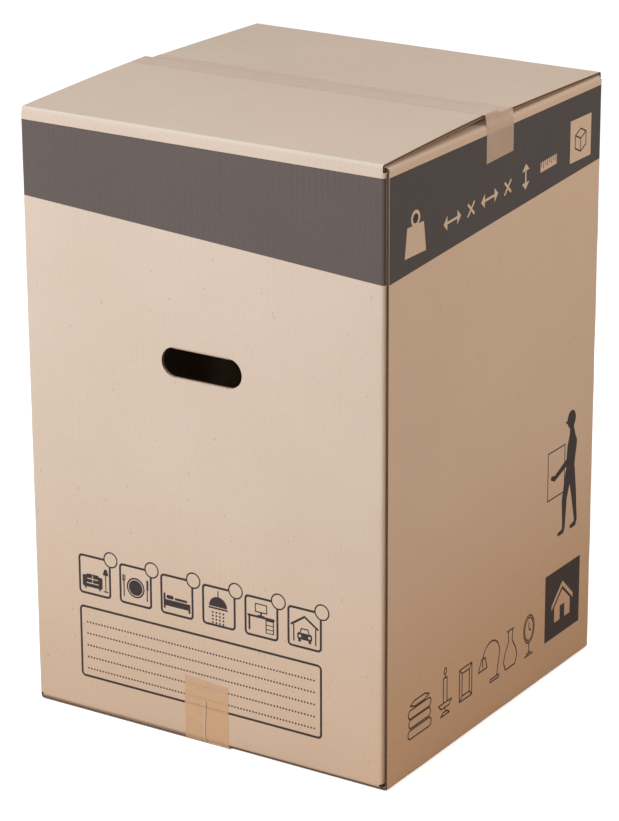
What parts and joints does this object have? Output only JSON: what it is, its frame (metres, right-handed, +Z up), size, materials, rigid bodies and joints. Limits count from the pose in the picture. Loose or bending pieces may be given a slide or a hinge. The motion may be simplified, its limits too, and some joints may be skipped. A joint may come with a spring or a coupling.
{
  "type": "moving box",
  "caption": "Tall square corrugated moving carton, taped shut, with hand holes in opposite walls, a dark printed band and plain pictogram panels.",
  "frame": {"origin": "middle of the underside, on the face that the box rests on", "axes": "+Z up along the box's height, -Y out of the front wall with the writing panel, +X out of the right wall with the badge"},
  "size_m": [0.4074, 0.4074, 0.6205],
  "materials": {
    "kraft_board": "uncoated brown kraft liner, matt, with fibres and flecks",
    "packing_tape": "translucent tan packing tape, satin",
    "dark_ink": "dark grey brown flexographic ink on kraft, matt"
  },
  "bodies": {
    "root": {"carton": "kraft_board", "top_tape": "packing_tape", "bottom_tape": "packing_tape", "band_print": "dark_ink", "writing_panel_print": "dark_ink", "room_tile_print_1": "dark_ink", "room_tile_print_2": "dark_ink", "room_tile_print_3": "dark_ink", "room_tile_print_4": "dark_ink", "room_tile_print_5": "dark_ink", "room_tile_print_6": "dark_ink", "badge_print": "dark_ink", "figure_print": "dark_ink"}
  },
  "joints": []
}
